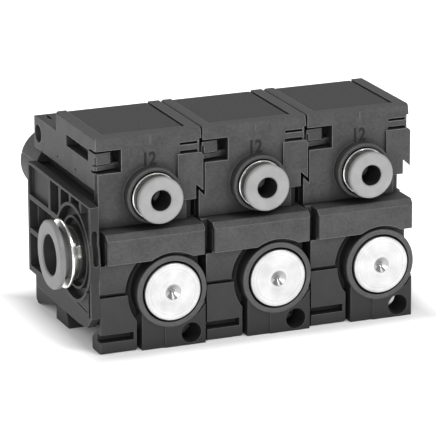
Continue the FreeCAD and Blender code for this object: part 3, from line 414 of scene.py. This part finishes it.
def settle(piece):
    # puts the place, turn and size of a piece into its mesh
    bpy.ops.object.select_all(action="DESELECT")
    piece.select_set(True)
    bpy.context.view_layer.objects.active = piece
    bpy.ops.object.transform_apply(location=True, rotation=True, scale=True)


def copyTo(piece, name, station):
    twin = piece.copy()
    twin.data = piece.data.copy()
    twin.name = name
    bpy.context.scene.collection.objects.link(twin)
    twin.location = (mm(row["pitch"]) * station, 0, 0)
    settle(twin)
    return twin


sunkFigure = sunkMaterial("sunkFigure", portNumber)
bpy.ops.object.select_all(action="DESELECT")
bpy.ops.object.text_add(location=(0, 0, 0))
figure = bpy.context.object
figure.data.body = portNumber["words"]
figure.data.size = mm(portNumber["height"] / portNumber["capShare"])
figure.data.resolution_u = portNumber["curveSteps"]
figure.data.offset = mm(portNumber["thicker"])
figure.data.extrude = mm(portNumber["proud"] / 2)
bpy.ops.object.convert(target="MESH")
figure = bpy.context.object
figure.name = "portNumber_1"
bpy.ops.object.mode_set(mode="EDIT")
bpy.ops.mesh.select_all(action="SELECT")
bpy.ops.mesh.remove_doubles(threshold=mm(portNumber["weldMm"]))
bpy.ops.mesh.normals_make_consistent(inside=False)
bpy.ops.object.mode_set(mode="OBJECT")
across = [point[0] for point in figure.bound_box]
upward = [point[1] for point in figure.bound_box]
figure.scale = (mm(portNumber["width"]) / (max(across) - min(across)),
                mm(portNumber["height"]) / (max(upward) - min(upward)), 1)
settle(figure)
across = [point[0] for point in figure.bound_box]
upward = [point[1] for point in figure.bound_box]
figure.rotation_euler = (math.radians(90), 0, 0)
corner = Vector((min(across), 0, min(upward)))
figure.location = atStation(portNumber["left"], -portNumber["proud"] / 2, portNumber["foot"], 0) - corner
settle(figure)
figure.data.materials.clear()
figure.data.materials.append(sunkFigure)
figures = [figure]
for station in range(1, row["stations"]):
    figures.append(copyTo(figure, "portNumber_" + str(station + 1), station))
for piece in figures:
    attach(piece, "block")
print("port numbers on the front")

# Compression springs, wound from round wire with a closed turn at each end. joint names each one's
# slide: still is the end that stays, keep the share of the length left at the slide's limit.
latchSpring = dict(node="latch_spring", joint="latch_slide", wire=0.4, midTurns=3, still="low", keep=0.61)
returnSpring = dict(node="return_spring", joint="spool_slide", wire=0.5, midTurns=2, still="high",
                    keep=0.53)
winding = dict(sides=10, steps=28, endPitch=1.02, creaseAngle=50, weldMm=0.002)


def windTurns(coilR, wireR, start, rise, turns):
    bpy.ops.mesh.primitive_circle_add(vertices=winding["sides"], radius=wireR, fill_type="NOTHING",
                                      location=(coilR, 0, start), rotation=(math.radians(90), 0, 0))
    coil = bpy.context.object
    settle(coil)
    screw = coil.modifiers.new("winding", "SCREW")
    screw.axis = "Z"
    screw.screw_offset = rise / turns
    screw.iterations = turns
    screw.steps = screw.render_steps = winding["steps"]
    bpy.ops.object.modifier_apply(modifier="winding")
    return coil


def woundSpring(settings):
    low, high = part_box(settings["node"] + "_1")
    wire = mm(settings["wire"])
    coilR = (high.x - low.x - wire) / 2
    endRise = wire * winding["endPitch"]
    midRise = high.y - low.y - wire - 2 * endRise
    turns = [windTurns(coilR, wire / 2, wire / 2, endRise, 1),
             windTurns(coilR, wire / 2, wire / 2 + endRise, midRise, settings["midTurns"]),
             windTurns(coilR, wire / 2, wire / 2 + endRise + midRise, endRise, 1)]
    bpy.ops.object.select_all(action="DESELECT")
    for coil in turns:
        coil.select_set(True)
    bpy.context.view_layer.objects.active = turns[0]
    bpy.ops.object.join()
    spring = bpy.context.object
    bpy.ops.object.mode_set(mode="EDIT")
    bpy.ops.mesh.select_all(action="SELECT")
    bpy.ops.mesh.remove_doubles(threshold=mm(winding["weldMm"]))
    bpy.ops.mesh.select_all(action="SELECT")
    bpy.ops.mesh.fill_holes(sides=winding["sides"])
    bpy.ops.mesh.normals_make_consistent(inside=False)
    bpy.ops.object.mode_set(mode="OBJECT")
    bpy.ops.object.shade_smooth_by_angle(angle=math.radians(winding["creaseAngle"]))
    spring.rotation_euler = (math.radians(-90), 0, 0)
    spring.location = ((low.x + high.x) / 2, low.y, (low.z + high.z) / 2)
    settle(spring)
    spring.name = settings["node"].replace("_s", "S") + "_1"
    spring.data.materials.clear()
    spring.data.materials.append(finishes["springSteel"])
    return spring


for settings in (latchSpring, returnSpring):
    first = woundSpring(settings)
    coils = [first]
    for station in range(1, row["stations"]):
        coils.append(copyTo(first, first.name[:-1] + str(station + 1), station))
    for number, spring in enumerate(coils, 1):
        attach(spring, "block")
        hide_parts(settings["node"] + "_" + str(number))
        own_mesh(spring)
print("springs wound")

# Matt white paper for the floor, with soft light from the front, the left and the rear, and a painted glow
# in the paper round the object
studio = dict(floorSize=4000.0, floorZ=-0.02, floor="#fafafa", floorPale="#fdfdfd", paperMm=1.5,
              paperDetail=3.0, roughness=0.9, glow=0.65, clearX=35.5, clearY=21.0, fade=8.0, world=0.5,
              key=dict(place=(300, -640, 840), size=420, power=4.8),
              fill=dict(place=(-560, -980, 370), size=600, power=6.3),
              rear=dict(place=(-560, 900, 760), size=600, power=2.2))

bpy.ops.object.select_all(action="DESELECT")
bpy.ops.mesh.primitive_plane_add(size=mm(studio["floorSize"]), location=(0, 0, mm(studio["floorZ"])))
floor = bpy.context.object
floor.name = "paperFloor"
floorMaterial, floorTree, floorSurface, floorWhere = newMaterial("mattPaper", {
    "Roughness": studio["roughness"], "Emission Color": white})
paper = addNode(floorTree, "ShaderNodeTexNoise",
                {"Scale": perMetre(studio["paperMm"]), "Detail": studio["paperDetail"]},
                {"Vector": floorWhere})
paperTone = addNode(floorTree, "ShaderNodeMix", {"data_type": "RGBA", 6: tone(studio["floorPale"]),
                                                 7: tone(studio["floor"])}, {0: paper})
floorTree.links.new(paperTone.outputs[2], floorSurface.inputs["Base Color"])
# painted light: the paper glows round the object, rising over a short fade from its footprint and
# not under it, which lightens the object's shadow on the floor
spot = addNode(floorTree, "ShaderNodeSeparateXYZ", None, {0: floorWhere})
aside = addNode(floorTree, "ShaderNodeMath", {"operation": "ABSOLUTE"}, {0: spot.outputs["X"]})
aside = addNode(floorTree, "ShaderNodeMath", {"operation": "SUBTRACT", 1: mm(studio["clearX"])},
                {0: aside})
behind = addNode(floorTree, "ShaderNodeMath", {"operation": "ABSOLUTE"}, {0: spot.outputs["Y"]})
behind = addNode(floorTree, "ShaderNodeMath", {"operation": "SUBTRACT", 1: mm(studio["clearY"])},
                 {0: behind})
beyond = addNode(floorTree, "ShaderNodeMath", {"operation": "MAXIMUM"}, {0: aside, 1: behind})
glow = addNode(floorTree, "ShaderNodeMapRange", {"From Max": mm(studio["fade"]), "To Max": studio["glow"]},
               {"Value": beyond})
floorTree.links.new(glow.outputs[0], floorSurface.inputs["Emission Strength"])
floor.data.materials.append(floorMaterial)

world = bpy.data.worlds.new("softRoom")
bpy.context.scene.world = world
world.use_nodes = True
sky = world.node_tree.nodes["Background"]
sky.inputs["Color"].default_value = white
sky.inputs["Strength"].default_value = studio["world"]


def softLight(name, settings):
    data = bpy.data.lights.new(name, "AREA")
    data.shape = "DISK"
    data.size = mm(settings["size"])
    data.energy = settings["power"]
    lamp = bpy.data.objects.new(name, data)
    bpy.context.scene.collection.objects.link(lamp)
    lamp.location = mm(Vector(settings["place"]))
    lamp.rotation_euler = (-lamp.location).to_track_quat("-Z", "Y").to_euler()


softLight("keyLight", studio["key"])
softLight("fillLight", studio["fill"])
softLight("rearLight", studio["rear"])

# Camera at the photograph's angle
cameraLook = dict(azimuth=-22.43, elevation=16.85, roll=-0.2, distance=711.7, lens=289.98, sensor=36,
                  target=(-2.05, 0.3, 19.0), near=10, far=20000)
azimuth = math.radians(cameraLook["azimuth"])
elevation = math.radians(cameraLook["elevation"])
back = Vector((math.sin(azimuth) * math.cos(elevation), -math.cos(azimuth) * math.cos(elevation),
               math.sin(elevation)))
cameraData = bpy.data.cameras.new("photoCamera")
cameraData.sensor_width = cameraLook["sensor"]
cameraData.lens = cameraLook["lens"]
cameraData.clip_start = mm(cameraLook["near"])
cameraData.clip_end = mm(cameraLook["far"])
camera = bpy.data.objects.new("photoCamera", cameraData)
bpy.context.scene.collection.objects.link(camera)
camera.rotation_mode = "QUATERNION"
camera.location = mm(Vector(cameraLook["target"])) + back * mm(cameraLook["distance"])
turn = (-back).to_track_quat("-Z", "Y")
camera.rotation_quaternion = turn @ Euler((0, 0, math.radians(cameraLook["roll"]))).to_quaternion()
bpy.context.scene.camera = camera
bpy.context.scene.view_settings.view_transform = "Standard"
print("camera and light ready")
